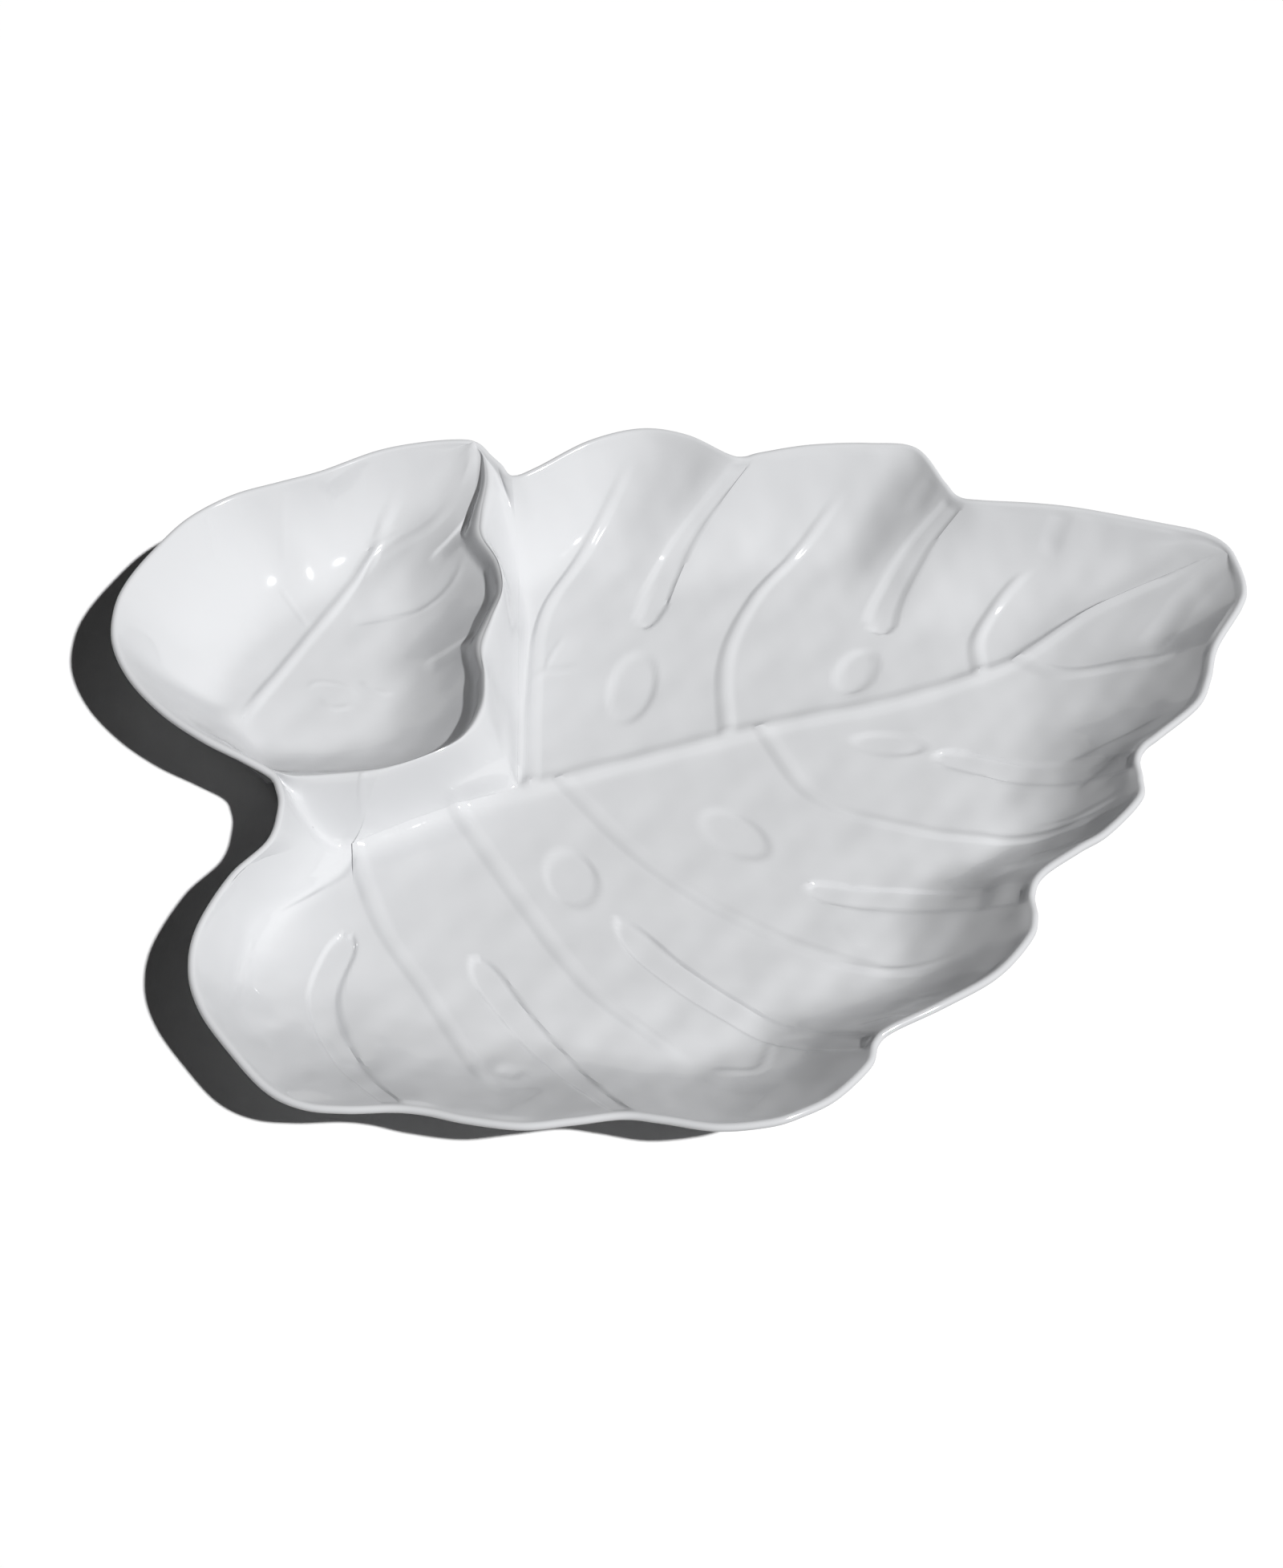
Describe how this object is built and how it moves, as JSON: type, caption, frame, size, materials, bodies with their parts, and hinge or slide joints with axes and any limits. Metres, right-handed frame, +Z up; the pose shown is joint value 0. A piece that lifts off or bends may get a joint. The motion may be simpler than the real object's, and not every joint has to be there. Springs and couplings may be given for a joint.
{
  "type": "leaf-shaped serving platter",
  "caption": "Leaf-shaped serving platter with a large dished leaf, a smaller leaf bowl for dip behind a curved divider, raised and sunk veins, and foot rings underneath.",
  "frame": {"origin": "bottom centre of the bounding box, on the surface that the foot rings stand on", "axes": "+X along the large leaf from the bowl's end to the leaf's pointed tip, +Y from the large leaf's near side to the bowl's far side, +Z up out of the wells"},
  "size_m": [0.4619, 0.3409, 0.0433],
  "materials": {
    "glossy_white_melamine": "glossy moulded white melamine",
    "foot_white_melamine": "white melamine, rubbed satin where it stands"
  },
  "bodies": {
    "root": {"large_leaf": "glossy_white_melamine", "small_leaf": "glossy_white_melamine", "divider": "glossy_white_melamine", "large_foot_ring": "foot_white_melamine", "small_foot_ring": "foot_white_melamine"}
  },
  "joints": []
}
